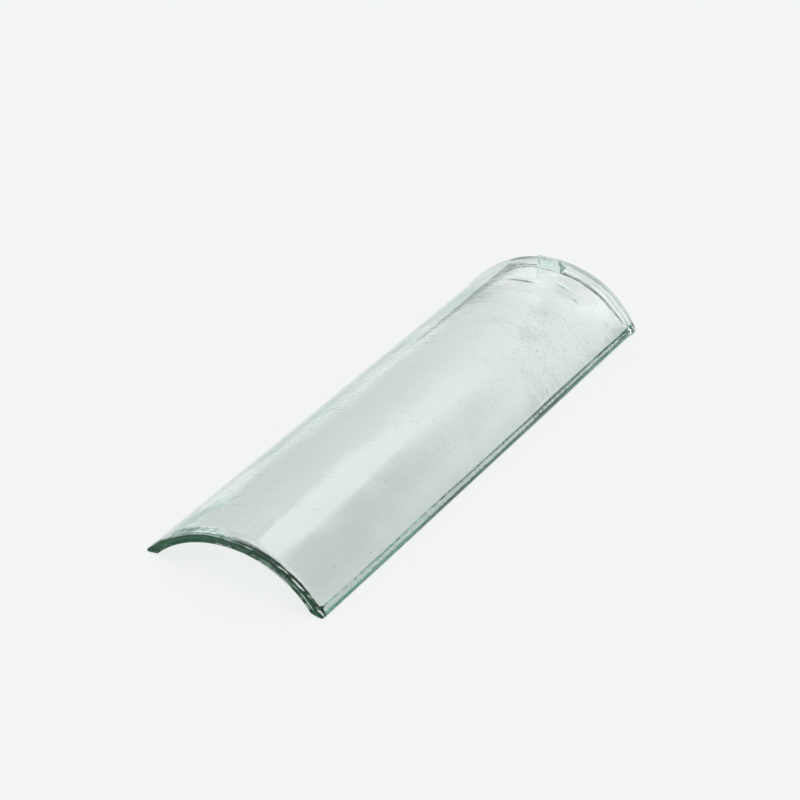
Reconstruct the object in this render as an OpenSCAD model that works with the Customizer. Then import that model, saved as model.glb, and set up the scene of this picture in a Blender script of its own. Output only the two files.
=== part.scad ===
// Curved roof tile pressed from clear glass. It is a length of tapered tube,
// cut off level so that it lies on its two long edges with the crown up.
// The narrow end points to -Y and the wide end to +Y. A hook for the batten
// stands on the crown at the wide end, where the wall is thicker inside and
// has a low raised band round its outer rim. Millimetres, origin at the middle
// of the footprint, on the surface that the tile rests on.

/* [Tile] */
// Length over both ends
tile_len = 500; // [400:5:600]
// Outer radius of the curve at the narrow end
narrow_r = 80; // [76:0.5:84]
// Outer radius of the curve at the wide end
wide_r = 87.5; // [84:0.5:92]
// Height of the crown over the resting edges at the narrow end
narrow_rise = 31; // [28:0.5:34]
// Height of the crown over the resting edges at the wide end
wide_rise = 44; // [41:0.5:48]
// Thickness of the wall along the crown
crown_wall = 6.2; // [5.5:0.1:8]
// How much higher the inner curve is struck than the outer one
inner_lift = 3; // [0:0.5:4]

/* [Edges] */
// Rounding of the outer edge of both ends
rim_round = 2; // [0.5:0.25:2.5]
// Rounding of the inner edge of the narrow end
inner_round = 0.8; // [0.4:0.1:1.2]
// How much the sharp outer corner of each long edge is blunted, across the tile
blunt = 1.5; // [0.5:0.25:2.5]

/* [Wide end] */
// Height of the raised band round the outside
band = 0.8; // [0.4:0.1:1.5]
// Length of the raised band
band_len = 11; // [8:0.5:16]
// Extra thickness inside the rim at the crown
heel = 4.5; // [2:0.25:6]
// Extra thickness inside the rim at the long edges
heel_side = 2.2; // [1:0.1:4]
// Distance from the wide end where the wall starts to thicken, at the crown
heel_len = 22; // [16:0.5:32]
// Length of the full thickness next to the wide end
heel_land = 7; // [4:0.5:10]

/* [Hook] */
// Distance from the wide end to the hook's bearing face
hook_inset = 24.5; // [20:0.5:40]
// Height of the bearing face over the crown
hook_h = 11; // [8:0.5:14]
// Width of the hook at its foot
hook_w = 22; // [16:1:30]
// Mould draft of each side of the hook
hook_draft = 5; // [3:1:12]
// Length of the level strip on top of the hook, behind the bearing face
hook_land = 3; // [3:0.5:8]
// Rounding of the hook's upper edges
hook_round = 1.5; // [1:0.25:2]

/* [Hidden] */
$fn = 128;

taper = atan((wide_r - narrow_r) / tile_len);         // half angle of the tapered tube
narrow_drop = narrow_r - narrow_rise;                 // tube axis below the resting plane
wide_drop = wide_r - wide_rise;
lean = atan((narrow_drop - wide_drop) / tile_len);    // slope of the tube axis
tube_len = tile_len - tan(lean) * (narrow_r - wide_drop);  // the leaning ends add the rest
strip_len = tube_len / cos(taper);                    // length of the wall, on the slant
end_shift = tan(lean) * (narrow_r + wide_drop) / 2;   // centres the leaning ends on Y
core = 60;                                            // depth of the outer body, more than the wall

// The thicker part is what a narrower bore leaves standing inside the wide end.
// Its axis is lower than the inner curve's, so it leaves more at the crown
side_cos = wide_drop / wide_r;                        // cosine of the angle to a long edge
sag = (heel - heel_side) / (1 - side_cos);            // how much lower the bore's axis is
gain = heel - sag;                                    // how much smaller its radius is

function half_width(r, drop) = sqrt(r * r - drop * drop);
function crown(y) = narrow_rise + (wide_rise - narrow_rise) * (y / tile_len + 0.5);
function inner_r(y) = narrow_r + (wide_r - narrow_r) * y / tube_len - crown_wall - inner_lift;

// Half section of the outer body, with its outer face on the Y axis
module body_strip() {
    translate([-core, rim_round]) square([core, strip_len - 2 * rim_round]);
    translate([-core, 0]) square([core - rim_round, strip_len]);
    translate([-rim_round, rim_round]) circle(r = rim_round, $fn = 32);
    start = strip_len - band_len - band;
    polygon([[-core, start], [0, start], [band, start + band], [band, strip_len - rim_round],
             [band - rim_round, strip_len - rim_round], [band - rim_round, strip_len],
             [-core, strip_len]]);
    translate([band - rim_round, strip_len - rim_round]) circle(r = rim_round, $fn = 32);
}

module body() {
    rotate_extrude() translate([narrow_r, 0]) rotate(-taper) body_strip();
}

// The hollow under the tile, with the narrow rim's inner edge rounded off
module hollow() {
    over = 20;                                        // reaches past both ends
    r = inner_r(0);
    rotate_extrude() {
        polygon([[0, -over], [inner_r(-over), -over],
                 [inner_r(tube_len + over), tube_len + over], [0, tube_len + over]]);
        difference() {
            translate([r - 1, -over]) square([1 + inner_round, over + inner_round]);
            translate([r + inner_round, inner_round]) circle(r = inner_round, $fn = 32);
        }
    }
}

// The bore at the wide end, opening out to more than the hollow behind it
module heel_bore() {
    over = 20;                                        // reaches past both ends
    full = tube_len - heel_land;                      // where the full thickness starts
    back = tube_len - 2 * heel_len;                   // well clear of the thicker part
    wide = 2 * wide_r;
    translate([0, sag, 0])
        rotate_extrude()
            polygon([[0, -over], [wide, -over], [wide, back],
                     [inner_r(back) - gain + heel * (full - back) / (heel_len - heel_land), back],
                     [inner_r(full) - gain, full],
                     [inner_r(tube_len + over) - gain, tube_len + over],
                     [0, tube_len + over]]);
}

// The whole tapered tube that the tile is a slice of, on its leaning axis
module tube() {
    translate([0, end_shift - tube_len / 2, -narrow_drop])
        rotate([lean, 0, 0])
            rotate([-90, 0, 0])
                difference() {
                    body();
                    translate([0, -inner_lift, 0])
                        intersection() {
                            hollow();
                            heel_bore();
                        }
                }
}

// Outline of the tile from above. Its slanting sides blunt the long edges
module footprint() {
    n = half_width(narrow_r, narrow_drop) - blunt;
    w = half_width(wide_r + band, wide_drop) - blunt;
    over = 1.2;                                       // reaches past both ends
    half = tile_len / 2 * over;
    grow = (w - n) / 2 * (over - 1);
    polygon([[-n + grow, -half], [n - grow, -half], [w + grow, half], [-w - grow, half]]);
}

// Hook from the side: upright bearing face, level land, slope down to the rim
module hook_side() {
    front = tile_len / 2 - hook_inset;
    back = tile_len / 2 - 2 * rim_round;
    top = crown(front) + hook_h;
    foot = crown(front) - crown_wall / 2;
    sink = 1.2;                                       // the slope dies out in the band
    difference() {
        polygon([[front, foot], [front, top], [front + hook_land, top],
                 [back, crown(back) + band - sink], [back, foot]]);
        translate([front, top - hook_round]) square(hook_round);
    }
    translate([front + hook_round, top - hook_round]) circle(r = hook_round, $fn = 32);
}

// Hook from the front: drafted sides and round upper corners
module hook_front() {
    foot = crown(tile_len / 2 - hook_inset) - crown_wall / 2;
    full = hook_h + crown_wall / 2;
    foot_w = hook_w / 2 + crown_wall / 2 * tan(hook_draft);
    rise = full - hook_round;                         // height of the corners' centres
    side = foot_w - rise * tan(hook_draft) - hook_round / cos(hook_draft);
    touch = [side + hook_round * cos(hook_draft), rise + hook_round * sin(hook_draft)];
    translate([0, foot]) {
        polygon([[-foot_w, 0], [foot_w, 0], touch, [-touch[0], touch[1]]]);
        translate([-side, 0]) square([2 * side, full]);
        for (x = [-side, side]) translate([x, rise]) circle(r = hook_round, $fn = 32);
    }
}

module hook() {
    intersection() {
        rotate([90, 0, 90])
            linear_extrude(height = 2 * hook_w, center = true) hook_side();
        translate([0, tile_len / 2, 0])
            rotate([90, 0, 0]) linear_extrude(height = 2 * hook_inset) hook_front();
    }
}

module tile() {
    color([0.80, 0.90, 0.85, 0.55]) {
        intersection() {
            tube();
            linear_extrude(height = 2 * wide_rise) footprint();
        }
        hook();
    }
}

tile();
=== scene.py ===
# Curved roof tile of pressed glass, on a plain pale floor.
import math
import bpy
import bmesh
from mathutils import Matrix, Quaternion, Vector, noise


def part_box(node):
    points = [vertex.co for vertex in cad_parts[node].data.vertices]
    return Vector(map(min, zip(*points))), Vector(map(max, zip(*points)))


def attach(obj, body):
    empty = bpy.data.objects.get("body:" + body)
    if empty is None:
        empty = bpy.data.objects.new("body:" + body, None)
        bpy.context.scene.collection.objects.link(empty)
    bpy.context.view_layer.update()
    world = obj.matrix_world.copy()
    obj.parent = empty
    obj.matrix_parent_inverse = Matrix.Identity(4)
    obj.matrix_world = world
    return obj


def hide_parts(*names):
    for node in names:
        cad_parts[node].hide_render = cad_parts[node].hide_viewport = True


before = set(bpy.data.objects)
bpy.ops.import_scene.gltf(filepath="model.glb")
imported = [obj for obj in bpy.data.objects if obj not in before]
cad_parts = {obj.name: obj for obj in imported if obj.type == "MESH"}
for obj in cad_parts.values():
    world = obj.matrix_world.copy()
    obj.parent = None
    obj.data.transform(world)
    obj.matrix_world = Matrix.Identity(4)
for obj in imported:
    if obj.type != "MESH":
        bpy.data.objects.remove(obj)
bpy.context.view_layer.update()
scene = bpy.context.scene
tileLow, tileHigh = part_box("tile")
print("frame loaded", [round(v, 4) for v in tileHigh - tileLow])

view = {
    "azimuth": 24.54,      # degrees to the right of the narrow end
    "elevation": 27.61,
    "roll": 6.0,
    "distance": 1.1244,    # metres from the target
    "target": (-0.01565, -0.00555, 0.015),
    "lens": 70.59, "sensor": 36,
    "near": 0.01, "far": 50,
}


def makeCamera():
    data = bpy.data.cameras.new("camera")
    data.lens = view["lens"]
    data.sensor_width = view["sensor"]
    data.clip_start, data.clip_end = view["near"], view["far"]
    cam = bpy.data.objects.new("camera", data)
    scene.collection.objects.link(cam)
    a, e = math.radians(view["azimuth"]), math.radians(view["elevation"])
    back = Vector((math.sin(a) * math.cos(e), -math.cos(a) * math.cos(e), math.sin(e)))
    cam.location = Vector(view["target"]) + back * view["distance"]
    cam.rotation_mode = "QUATERNION"
    turn = Quaternion((0, 0, 1), math.radians(view["roll"]))
    cam.rotation_quaternion = (-back).to_track_quat("-Z", "Y") @ turn
    scene.camera = cam
    print("camera made")


makeCamera()

# The mesh starts as a flat sheet and is then bent. On the sheet x runs from -1 to 1
# across, and two distances are measured along it: n from the narrow end, s from the wide end.
tile = {
    "length": tileHigh.y - tileLow.y,
    "middle": (tileHigh.y + tileLow.y) / 2,
    "narrowRadius": 0.080, "wideRadius": 0.0875,   # outer curve at each end
    "narrowRise": 0.031, "wideRise": 0.044,        # crown over the resting edges
    "halfArc": 0.078,                              # half the sheet's breadth
    "wall": 0.0070,                                # of the flat sheet
    "crownWall": 0.0062, "legWall": 0.0067, "legPower": 6,   # of the bent tile
}


def ramp(v, low, high):
    # 0 below low, 1 above high, smooth between
    w = min(1.0, max(0.0, (v - low) / (high - low)))
    return w * w * (3 - 2 * w)


def radiusAt(t):
    # t is 0 at the narrow end and 1 at the wide end
    return tile["narrowRadius"] + (tile["wideRadius"] - tile["narrowRadius"]) * t


def dropAt(t):
    # depth of the curve's axis under the resting edges
    narrow = tile["narrowRadius"] - tile["narrowRise"]
    wide = tile["wideRadius"] - tile["wideRise"]
    return narrow + (wide - narrow) * t


def wallAt(x):
    return tile["crownWall"] + (tile["legWall"] - tile["crownWall"]) * x ** tile["legPower"]


collar = {
    "band": 0.0008, "bandEnd": 0.0110, "bandSlope": 0.0010,   # raised band outside the wide end
    "lip": 0.0040, "lipFull": 0.0110, "lipGone": 0.0140,      # thick lip under it
    "lipSide": 0.4, "slant": 0.0010,                          # thinner and shorter at the sides,
    "dieOut": 0.85, "dieFrom": 0.80,                          # and almost none at the feet
    "cuts": (0.0100, 0.0105, 0.0110, 0.0114, 0.0118, 0.0123, 0.0128, 0.0133, 0.0139, 0.0145),
    "cutReach": 0.005,
}


def bandLift(s):
    return collar["band"] * (1 - ramp(s, collar["bandEnd"], collar["bandEnd"] + collar["bandSlope"]))


def lipThickness(x, s):
    thick = collar["lip"] * (1 - collar["lipSide"] * x ** 2)
    thick *= 1 - collar["dieOut"] * ramp(abs(x), collar["dieFrom"], 1.0)
    return thick * (1 - ramp(s + collar["slant"] * x ** 2, collar["lipFull"], collar["lipGone"]))


# The narrow end's face is stepped: its outer part stands back behind two ledges.
ledge = {
    "back": 0.0010, "top": 0.0040, "foot": 0.0046,            # set back, between these depths
    "lowBack": 0.0005, "lowTop": 0.0055, "lowFoot": 0.0058,
    "flat": 0.004, "reach": 0.012,                            # how far in from the end it is felt
    "wave": 0.0005, "waveLength": 0.03, "seed": (5.5, 2.2),   # the ledges' line is uneven
    "leftRise": 0.0006, "leftFrom": -0.01, "leftTo": -0.05,   # and higher left of the crown
    "sideFrom": 0.90, "sideTo": 0.98,                         # none at the very sides
    "cuts": (0.0035, 0.0037, 0.0040, 0.0043, 0.0046, 0.0050, 0.0055, 0.0058),
}


def setBack(x, z, n):
    if n >= ledge["reach"]:
        return 0.0
    arc = x * tile["halfArc"]
    rise = ledge["wave"] * noise.noise(Vector((arc / ledge["waveLength"], *ledge["seed"])))
    rise -= ledge["leftRise"] * (1 - ramp(arc, ledge["leftTo"], ledge["leftFrom"]))
    deep = -z * tile["wall"] + rise
    back = ledge["back"] * (1 - ramp(deep, ledge["top"], ledge["foot"]))
    back += ledge["lowBack"] * (1 - ramp(deep, ledge["lowTop"], ledge["lowFoot"]))
    back *= 1 - ramp(abs(x), ledge["sideFrom"], ledge["sideTo"])
    return back * (1 - ramp(n, ledge["flat"], ledge["reach"]))


# The narrow end's outer edge has a low spot left of the crown, and is worn on the right.
wear = {
    "spot": 0.0012, "spotReach": 0.009, "spotLeft": (-0.9, -0.6), "spotRight": (-0.05, 0.35),
    "worn": 0.0020, "wornReach": 0.0042, "wornFrom": (-0.35, 0.25),
    "lumps": 0.35, "lumpAcross": 0.0035, "lumpAlong": 0.002, "seed": 8.8,
    "side": 0.6, "sideFrom": 0.9,                             # less worn at the very side
}


def edgeFall(x, n):
    fall = wear["spot"] * (1 - ramp(n, 0.0, wear["spotReach"]))
    fall *= (1 - ramp(x, *wear["spotRight"])) * ramp(x, *wear["spotLeft"])
    near = max(0.0, 1 - n / wear["wornReach"])
    if near:
        arc = x * tile["halfArc"]
        lump = noise.noise(Vector((arc / wear["lumpAcross"], n / wear["lumpAlong"], wear["seed"])))
        worn = ramp(x, *wear["wornFrom"]) * (1 - wear["side"] * ramp(x, wear["sideFrom"], 1.0))
        fall += wear["worn"] * near ** 2 * (1 + wear["lumps"] * lump) * worn
    return fall


# Waves of the pressed faces: length across and along, height, seed. Their strength changes
# over the tile: calm on the left, stronger on the right and at the two ends.
relief = {
    "outer": ((0.060, 0.110, 0.00045, 3.1), (0.026, 0.040, 0.00026, 7.7),
              (0.012, 0.016, 0.00003, 13.9), (0.0070, 0.009, 0.00002, 11.3)),
    "inner": ((0.050, 0.090, 0.00045, 23.9), (0.022, 0.034, 0.00026, 31.7),
              (0.011, 0.014, 0.00004, 37.3), (0.0065, 0.008, 0.00002, 41.1)),
    "left": 0.35, "right": 0.65, "rightFrom": (-0.5, 0.0),
    "wideEnd": 0.5, "wideReach": (0.04, 0.12), "wideFrom": (-0.3, 0.1),
    "narrowEnd": 0.6, "narrowReach": (0.05, 0.15), "narrowTo": (-0.2, 0.1),
}


def waves(layers, arc, y):
    total = 0.0
    for across, along, height, seed in layers:
        total += height * noise.noise(Vector((arc / across, y / along, seed)))
    return total


def strength(x, n, s):
    wide = (1 - ramp(s, *relief["wideReach"])) * ramp(x, *relief["wideFrom"])
    narrow = (1 - ramp(n, *relief["narrowReach"])) * (1 - ramp(x, *relief["narrowTo"]))
    plain = relief["left"] + relief["right"] * ramp(x, *relief["rightFrom"])
    return plain + relief["wideEnd"] * wide + relief["narrowEnd"] * narrow


def faceWaves(x, y, z, n, s):
    arc = x * tile["halfArc"]
    both = waves(relief["outer"], arc, y) * (1 + z) - waves(relief["inner"], arc, y) * z
    return both * strength(x, n, s)


# Short wrinkles under the wide end: place across and from the end, half width across
# and along, height.
wrinkles = {
    "each": ((0.0175, 0.038, 0.0045, 0.0020, 0.0006), (0.0343, 0.0455, 0.0028, 0.0013, 0.0005),
             (-0.012, 0.050, 0.0090, 0.0025, 0.0006)),
    "reach": 0.065,
}


def wrinkleDepth(x, s):
    if s >= wrinkles["reach"]:
        return 0.0
    arc = x * tile["halfArc"]
    return sum(height * math.exp(-((arc - place) / across) ** 2 - ((s - far) / along) ** 2)
               for place, far, across, along, height in wrinkles["each"])


foot = {
    "narrowBevel": 0.0010, "wideBevel": 0.0028, "bevelFrom": 0.35,   # on the inner side
    "blunt": 0.0015, "bluntSpan": 0.001,                             # of the sharp outer corner
}


def footBevel(t, z):
    bevel = foot["narrowBevel"] * (1 - t) + foot["wideBevel"] * t
    return bevel * ramp(-z, foot["bevelFrom"], 1.0)


def bluntCorner(p, limit):
    over = abs(p.x) - limit
    if over > 0:
        p.x = math.copysign(limit + foot["bluntSpan"] * math.tanh(over / foot["bluntSpan"]), p.x)


def bendPoint(co):
    # sheet to tile: z is 0 on the outer face and -1 on the inner one
    x, y, z = co
    t = y / tile["length"] + 0.5
    n = tile["length"] / 2 + y
    s = tile["length"] / 2 - y
    lift = bandLift(s)
    rim = radiusAt(t) + lift
    radius = rim + z * (wallAt(x) + lipThickness(x, s) + lift) - edgeFall(x, n) * (1 + z)
    radius += faceWaves(x, y, z, n, s) + z * wrinkleDepth(x, s)
    edge = math.acos(min(1.0, (dropAt(t) + footBevel(t, z)) / radius))
    turn = edge * x
    p = Vector((radius * math.sin(turn), y + setBack(x, z, n), radius * math.cos(turn) - dropAt(t)))
    bluntCorner(p, math.sqrt(rim ** 2 - dropAt(t) ** 2) - foot["blunt"] - foot["bluntSpan"])
    return p


sheet = {
    "across": 96, "along": 340, "through": 4,      # cells
    "crowd": 0.45,                                 # how much they crowd to the rims
    "outerRound": 0.0020, "innerRound": 0.0008, "roundSteps": 8,
    "cornerRound": 0.0016, "cornerSteps": 4,
    "margin": 0.001,                               # kept uncrowded beside the corners
    "sharp": 35,                                   # degrees from which an edge stays sharp
}


def spread(v, half, crowd):
    # evenly cut rows drawn towards the rims
    u = v / (2 * half)
    return 2 * half * (u + crowd * math.sin(2 * math.pi * u) / (2 * math.pi))


def cutPlane(bm, co, no, geom=None, dist=1e-6):
    bmesh.ops.bisect_plane(bm, geom=geom or bm.verts[:] + bm.edges[:] + bm.faces[:], dist=dist,
                           plane_co=co, plane_no=no)


def cutLong(bm, axis, span, cuts):
    picked = [e for e in bm.edges
              if abs(abs((e.verts[0].co - e.verts[1].co)[axis]) - span) < 1e-5]
    bmesh.ops.subdivide_edges(bm, edges=picked, cuts=cuts)


def roundedBlock(bm):
    half, length, wall = tile["halfArc"], tile["length"], tile["wall"]
    bmesh.ops.create_cube(bm, size=1)
    bmesh.ops.scale(bm, vec=(2 * half, length, wall), verts=bm.verts)
    bmesh.ops.translate(bm, vec=(0, 0, -wall / 2), verts=bm.verts)
    upright = [e for e in bm.edges if abs((e.verts[0].co - e.verts[1].co).z) > wall / 2]
    bmesh.ops.bevel(bm, geom=upright, offset=sheet["cornerRound"], offset_type="OFFSET",
                    segments=sheet["cornerSteps"], profile=0.5, affect="EDGES", material=-1)
    for level, size in ((0, sheet["outerRound"]), (-wall, sheet["innerRound"])):
        rims = [e for e in bm.edges if all(abs(v.co.z - level) < 1e-6 for v in e.verts)]
        bmesh.ops.bevel(bm, geom=rims, offset=size, offset_type="OFFSET",
                        segments=sheet["roundSteps"], profile=0.5, affect="EDGES", material=-1)


def cutCells(bm):
    half, length, wall = tile["halfArc"], tile["length"], tile["wall"]
    flatX = half - sheet["cornerRound"] - sheet["margin"]
    flatY = length / 2 - sheet["cornerRound"] - sheet["margin"]
    for co, no in (((flatX, 0, 0), (1, 0, 0)), ((-flatX, 0, 0), (1, 0, 0)),
                   ((0, flatY, 0), (0, 1, 0)), ((0, -flatY, 0), (0, 1, 0))):
        cutPlane(bm, co, no)
    cutLong(bm, 2, wall - sheet["outerRound"] - sheet["innerRound"], sheet["through"] - 1)
    for deep in ledge["cuts"]:
        cutPlane(bm, (0, 0, -deep), (0, 0, 1))
    cutLong(bm, 1, 2 * flatY, sheet["along"] - 1)
    cutLong(bm, 0, 2 * flatX, sheet["across"] - 1)
    for v in bm.verts:
        if abs(v.co.y) < flatY - 1e-6:
            v.co.y = spread(v.co.y, flatY, sheet["crowd"])
        if abs(v.co.x) < flatX - 1e-6:
            v.co.x = spread(v.co.x, flatX, sheet["crowd"])
    for s in collar["cuts"]:
        line = length / 2 - s
        near = [f for f in bm.faces if abs(f.calc_center_median().y - line) < collar["cutReach"]]
        rows = list({v for f in near for v in f.verts}) + list({e for f in near for e in f.edges})
        cutPlane(bm, (0, line, 0), (0, 1, 0), geom=rows + near, dist=1e-5)


def buildShell():
    bm = bmesh.new()
    roundedBlock(bm)
    cutCells(bm)
    for v in bm.verts:
        v.co.x /= tile["halfArc"]
        v.co.z /= tile["wall"]
        v.co = bendPoint(v.co)
        v.co.y += tile["middle"]
    bmesh.ops.recalc_face_normals(bm, faces=bm.faces)
    mesh = bpy.data.meshes.new("glassTile")
    bm.to_mesh(mesh)
    bm.free()
    print("shell bent", len(mesh.polygons), "faces")
    return mesh


hook = {
    "inset": 0.0245, "end": 0.0105,                # from the wide end: upright face, foot of the slope
    "height": 0.011, "width": 0.0215, "topWidth": 0.0195,
    "shift": 0.0003, "lean": -0.002,               # to the right, and of its top
    "sink": 0.005, "slopeSink": 0.0005,            # into the wall, and of the slope's foot
    "edge": 0.0016, "edgeSteps": 8,
}


def crownAt(y):
    return tile["narrowRise"] + (tile["wideRise"] - tile["narrowRise"]) * (y / tile["length"] + 0.5)


def buildHook():
    bm = bmesh.new()
    bmesh.ops.create_cube(bm, size=1)
    front = tile["length"] / 2 - hook["inset"]
    back = tile["length"] / 2 - hook["end"]
    for v in bm.verts:
        x, y, z = v.co
        high = z > 0 and y < 0                     # the upright face's top edge
        width = hook["topWidth"] if high else hook["width"]
        middle = hook["shift"] + (hook["lean"] if high else 0)
        along = front if y < 0 else back
        level = crownAt(along) - hook["sink"]
        if z > 0:
            level = crownAt(front) + hook["height"] if high else crownAt(back) - hook["slopeSink"]
        v.co = Vector((middle + math.copysign(width / 2, x), along, level))
    edges = [e for e in bm.edges if max(v.co.z for v in e.verts) > crownAt(front)]
    bmesh.ops.bevel(bm, geom=edges, offset=hook["edge"], offset_type="OFFSET",
                    segments=hook["edgeSteps"], profile=0.5, affect="EDGES", material=-1)
    bmesh.ops.recalc_face_normals(bm, faces=bm.faces)
    mesh = bpy.data.meshes.new("hookBlock")
    bm.to_mesh(mesh)
    bm.free()
    print("hook made", len(mesh.polygons), "faces")
    return mesh


def joinGlass():
    shell = bpy.data.objects.new("shell", buildShell())
    block = bpy.data.objects.new("block", buildHook())
    for o in (shell, block):
        scene.collection.objects.link(o)
    mod = shell.modifiers.new("join", "BOOLEAN")
    mod.operation = "UNION"
    mod.solver = "MANIFOLD"
    mod.object = block
    bpy.context.view_layer.update()
    whole = shell.evaluated_get(bpy.context.evaluated_depsgraph_get())
    mesh = bpy.data.meshes.new_from_object(whole)
    for o in (shell, block):
        bpy.data.objects.remove(o)
    mesh.name = "glassTile"
    mesh.materials.clear()
    mesh.shade_smooth()
    mesh.set_sharp_from_angle(angle=math.radians(sheet["sharp"]))
    obj = bpy.data.objects.new("glassTile", mesh)
    scene.collection.objects.link(obj)
    return obj


def feed(tree, socket, value):
    # a number is set on the socket, another node's output is linked to it
    if isinstance(value, (int, float)):
        socket.default_value = value
    else:
        tree.links.new(value, socket)


def calc(tree, kind, *values):
    node = tree.nodes.new("ShaderNodeMath")
    node.operation = kind
    for socket, value in zip(node.inputs, values):
        feed(tree, socket, value)
    return node.outputs[0]


def fade(tree, value, low, high, start=0.0, end=1.0, kind="SMOOTHSTEP"):
    node = tree.nodes.new("ShaderNodeMapRange")
    node.interpolation_type = kind
    for name, v in (("Value", value), ("From Min", low), ("From Max", high),
                    ("To Min", start), ("To Max", end)):
        feed(tree, node.inputs[name], v)
    return node.outputs[0]


# Heights and places are in metres. The pits lie thickest in a zone on the right flank.
grain = {
    "pebble": 0.00007, "pebbleScale": 210, "pebbleDetail": 2,
    "pit": 0.0006, "pitScale": 300, "pitSize": 0.07, "pitSpread": 0.10,
    "zoneX": (0.020, 0.032), "zoneStart": (0.04, 0.07), "zoneEnd": (0.17, 0.20),
    "bare": 0.92, "filled": -0.87,                 # share of cells without a pit, and its change
    "hookZ": (0.0445, 0.0455), "hookRough": 3,     # the hook and the narrow end's cut face
    "faceY": (-0.2485, -0.2475), "faceRough": 17,  # are the roughest parts
}


def grainGroup():
    # fine pebble and pits of the pressed surface, as a height in metres
    group = bpy.data.node_groups.new("pressedGrain", "ShaderNodeTree")
    group.interface.new_socket("Pebble", in_out="INPUT", socket_type="NodeSocketFloat")
    group.interface.new_socket("Pit", in_out="INPUT", socket_type="NodeSocketFloat")
    group.interface.new_socket("Height", in_out="OUTPUT", socket_type="NodeSocketFloat")
    given = group.nodes.new("NodeGroupInput")
    made = group.nodes.new("NodeGroupOutput")
    place = group.nodes.new("ShaderNodeTexCoord").outputs["Object"]
    parts = group.nodes.new("ShaderNodeSeparateXYZ")
    feed(group, parts.inputs[0], place)
    pebble = group.nodes.new("ShaderNodeTexNoise")
    pebble.inputs["Scale"].default_value = grain["pebbleScale"]
    pebble.inputs["Detail"].default_value = grain["pebbleDetail"]
    feed(group, pebble.inputs["Vector"], place)
    cells = group.nodes.new("ShaderNodeTexVoronoi")
    cells.inputs["Scale"].default_value = grain["pitScale"]
    feed(group, cells.inputs["Vector"], place)
    chance = group.nodes.new("ShaderNodeSeparateColor")
    feed(group, chance.inputs[0], cells.outputs["Color"])

    zone = calc(group, "MULTIPLY", fade(group, parts.outputs["X"], *grain["zoneX"], kind="LINEAR"),
                fade(group, parts.outputs["Y"], *grain["zoneStart"], kind="LINEAR"))
    zone = calc(group, "MULTIPLY", zone,
                fade(group, parts.outputs["Y"], *grain["zoneEnd"], 1.0, 0.0, "LINEAR"))
    empty = calc(group, "MULTIPLY_ADD", zone, grain["filled"], grain["bare"])
    picked = calc(group, "GREATER_THAN", chance.outputs[0], empty)
    size = calc(group, "MULTIPLY_ADD", chance.outputs[1], grain["pitSpread"], grain["pitSize"])
    dip = fade(group, cells.outputs["Distance"], 0.0, size, 1.0, 0.0)
    pits = calc(group, "MULTIPLY", calc(group, "MULTIPLY", dip, picked), given.outputs["Pit"])
    onHook = fade(group, parts.outputs["Z"], *grain["hookZ"], 1, grain["hookRough"], "LINEAR")
    onFace = fade(group, parts.outputs["Y"], *grain["faceY"], grain["faceRough"], 0, "LINEAR")
    rough = calc(group, "MULTIPLY", given.outputs["Pebble"], calc(group, "ADD", onHook, onFace))
    total = calc(group, "SUBTRACT", calc(group, "MULTIPLY", pebble.outputs[0], rough), pits)
    feed(group, made.inputs["Height"], total)
    return group


glassLook = {
    "base": (0.973, 1.0, 0.981), "ior": 1.52,
    "colour": (0.09, 0.55, 0.41), "density": 9.5,  # of the glass's body
}


def makeGlass():
    mat = bpy.data.materials.new("paleGlass")
    mat.use_nodes = True
    nt = mat.node_tree
    bsdf = nt.nodes["Principled BSDF"]
    bsdf.inputs["Base Color"].default_value = (*glassLook["base"], 1)
    bsdf.inputs["Transmission Weight"].default_value = 1.0
    bsdf.inputs["Roughness"].default_value = 0.0
    bsdf.inputs["IOR"].default_value = glassLook["ior"]
    pressed = nt.nodes.new("ShaderNodeGroup")
    pressed.node_tree = grainGroup()
    pressed.inputs["Pebble"].default_value = grain["pebble"]
    pressed.inputs["Pit"].default_value = grain["pit"]
    bump = nt.nodes.new("ShaderNodeBump")
    bump.inputs["Distance"].default_value = 1.0    # the height is in metres already
    feed(nt, bump.inputs["Height"], pressed.outputs["Height"])
    feed(nt, bsdf.inputs["Normal"], bump.outputs[0])
    body = nt.nodes.new("ShaderNodeVolumeAbsorption")
    body.inputs["Color"].default_value = (*glassLook["colour"], 1)
    body.inputs["Density"].default_value = glassLook["density"]
    feed(nt, nt.nodes["Material Output"].inputs["Volume"], body.outputs[0])
    return mat


glass = joinGlass()
glass.data.materials.append(makeGlass())
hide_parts("tile")
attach(glass, "root")
print("tile made", len(glass.data.polygons), "faces")

floor = {
    "colour": (0.912, 0.929, 0.928), "roughness": 0.9, "gloss": 0.2,
    "size": 60, "level": -0.0002,
    "glow": 0.80,          # how much of it shows as plain colour to the camera
    "glassGlow": 0.35,     # and in the glass
}


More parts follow.
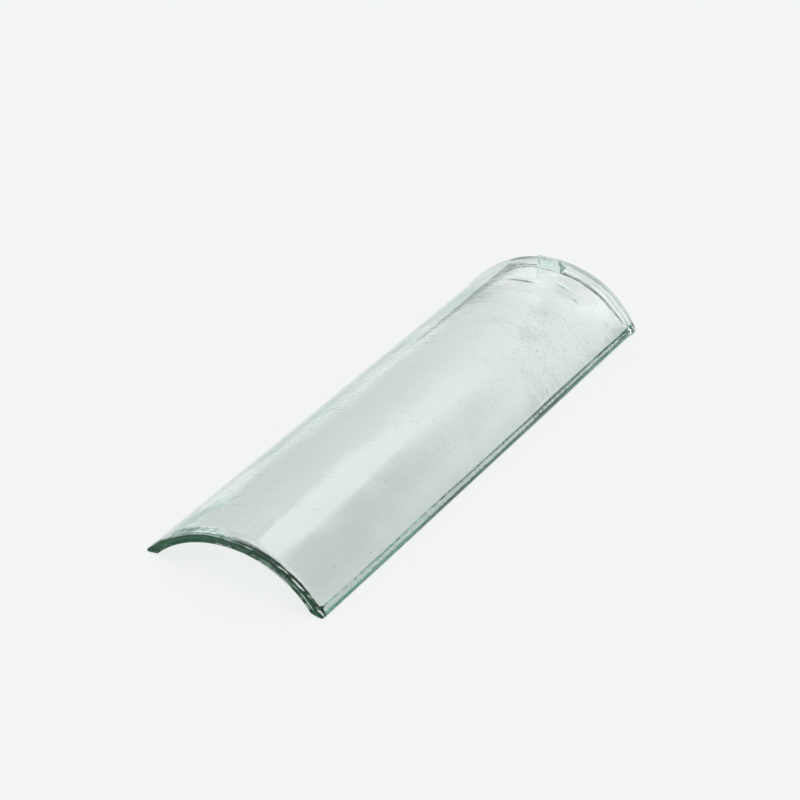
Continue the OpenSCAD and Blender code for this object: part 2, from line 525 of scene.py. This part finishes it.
def makePaper():
    mat = bpy.data.materials.new("palePaper")
    mat.use_nodes = True
    nt = mat.node_tree
    bsdf = nt.nodes["Principled BSDF"]
    bsdf.inputs["Base Color"].default_value = (*floor["colour"], 1)
    bsdf.inputs["Roughness"].default_value = floor["roughness"]
    bsdf.inputs["Specular IOR Level"].default_value = floor["gloss"]
    glow = nt.nodes.new("ShaderNodeEmission")
    glow.inputs["Color"].default_value = (*floor["colour"], 1)
    path = nt.nodes.new("ShaderNodeLightPath")
    camera, glossy, through = (
        calc(nt, "MULTIPLY", path.outputs[name], level)
        for name, level in (("Is Camera Ray", floor["glow"]), ("Is Glossy Ray", floor["glassGlow"]),
                            ("Is Transmission Ray", floor["glassGlow"])))
    mix = nt.nodes.new("ShaderNodeMixShader")
    feed(nt, mix.inputs[0], calc(nt, "MAXIMUM", calc(nt, "MAXIMUM", camera, glossy), through))
    feed(nt, mix.inputs[1], bsdf.outputs[0])
    feed(nt, mix.inputs[2], glow.outputs[0])
    feed(nt, nt.nodes["Material Output"].inputs["Surface"], mix.outputs[0])
    return mat


def makeFloor():
    bm = bmesh.new()
    bmesh.ops.create_grid(bm, x_segments=1, y_segments=1, size=floor["size"])
    mesh = bpy.data.meshes.new("floor")
    bm.to_mesh(mesh)
    bm.free()
    mesh.materials.append(makePaper())
    obj = bpy.data.objects.new("floor", mesh)
    obj.location.z = floor["level"]
    scene.collection.objects.link(obj)


# The studio around the tile. Directions are in radians: azimuth 0 lies beyond the wide end
# and grows to the right, elevation 0 is the horizon.
backdrop = {
    "level": 1.60,
    "topFrom": (0.09, 0.68), "topTo": (0.66, 0.35), "topFade": (-0.04, 0.17),   # its sloping upper edge
    "bottom": (0.53, 0.605), "bottomArch": 1.4,    # its arched lower edge
    "left": -0.80, "leftLevel": 0.45,              # dimmer on the left,
    "leftHeight": (0.06, 0.24), "leftEnd": (-0.48, 0.10),   # further across higher up
    "right": (0.50, 0.70), "rightLevel": 0.5,
    "dip": 0.05, "dipWidth": (0.25, 0.45), "dipHeight": (0.12, 0.40), "dipLevel": 0.50,
    "under": (-0.2, 0.0), "underLevel": 0.6,
}
softbox = {
    "level": 1.95,
    "left": (-0.44, -0.34), "right": (0.045, 0.175),
    "bottom": (0.55, 0.69), "top": (0.88, 0.94),
}
room = {
    "dark": 0.05,                                  # what neither of them lights
    "front": 0.65, "frontEdge": (1.1, 1.7),        # beside and behind the camera
    "ceiling": 1.62, "ceilingEdge": (0.88, 1.02),
}


def backdropLight(nt, az, el):
    def times(p, q):
        return calc(nt, "MULTIPLY", p, q)

    (a0, e0), (a1, e1) = backdrop["topFrom"], backdrop["topTo"]
    above = calc(nt, "SUBTRACT", el, fade(nt, az, a0, a1, e0, e1, "LINEAR"))
    leftEnd = fade(nt, el, *backdrop["leftHeight"], *backdrop["leftEnd"])
    light = times(fade(nt, above, *backdrop["topFade"], backdrop["level"], 0.0),
                  fade(nt, az, backdrop["left"], leftEnd, backdrop["leftLevel"], 1.0))
    aside = calc(nt, "ABSOLUTE", calc(nt, "SUBTRACT", az, backdrop["dip"]))
    light = times(light, calc(nt, "MAXIMUM", fade(nt, aside, *backdrop["dipWidth"]),
                              fade(nt, el, *backdrop["dipHeight"], backdrop["dipLevel"], 1.0)))
    light = times(light, fade(nt, el, *backdrop["under"], backdrop["underLevel"], 1.0))
    arch = calc(nt, "ADD", el, times(times(az, az), backdrop["bottomArch"]))
    light = times(light, fade(nt, arch, *backdrop["bottom"]))
    return times(light, fade(nt, az, *backdrop["right"], 1.0, backdrop["rightLevel"]))


def softboxLight(nt, az, el):
    light = softbox["level"]
    for way, (low, high), start, end in ((az, softbox["left"], 0, 1), (az, softbox["right"], 1, 0),
                                         (el, softbox["bottom"], 0, 1), (el, softbox["top"], 1, 0)):
        light = calc(nt, "MULTIPLY", light, fade(nt, way, low, high, start, end))
    return light


def makeWorld():
    world = bpy.data.worlds.new("studio")
    scene.world = world
    world.use_nodes = True
    nt = world.node_tree
    bg = nt.nodes["Background"]
    bg.inputs["Color"].default_value = (1, 1, 1, 1)
    way = nt.nodes.new("ShaderNodeTexCoord")
    parts = nt.nodes.new("ShaderNodeSeparateXYZ")
    feed(nt, parts.inputs[0], way.outputs["Generated"])
    az = calc(nt, "ARCTAN2", parts.outputs["X"], parts.outputs["Y"])
    el = calc(nt, "ARCSINE", parts.outputs["Z"])
    total = calc(nt, "MAXIMUM", backdropLight(nt, az, el), softboxLight(nt, az, el))
    total = calc(nt, "MAXIMUM", total, room["dark"])
    for part, level in ((fade(nt, calc(nt, "ABSOLUTE", az), *room["frontEdge"]), room["front"]),
                        (fade(nt, el, *room["ceilingEdge"]), room["ceiling"])):
        kept = calc(nt, "MULTIPLY", total, calc(nt, "SUBTRACT", 1, part))
        total = calc(nt, "ADD", kept, calc(nt, "MULTIPLY", part, level))
    feed(nt, bg.inputs["Strength"], total)


makeFloor()
makeWorld()
scene.view_settings.view_transform = "Standard"
bounces = 64  # light passes many faces inside the wall
scene.cycles.max_bounces = bounces
scene.cycles.transmission_bounces = bounces
scene.cycles.glossy_bounces = bounces
print("studio made")
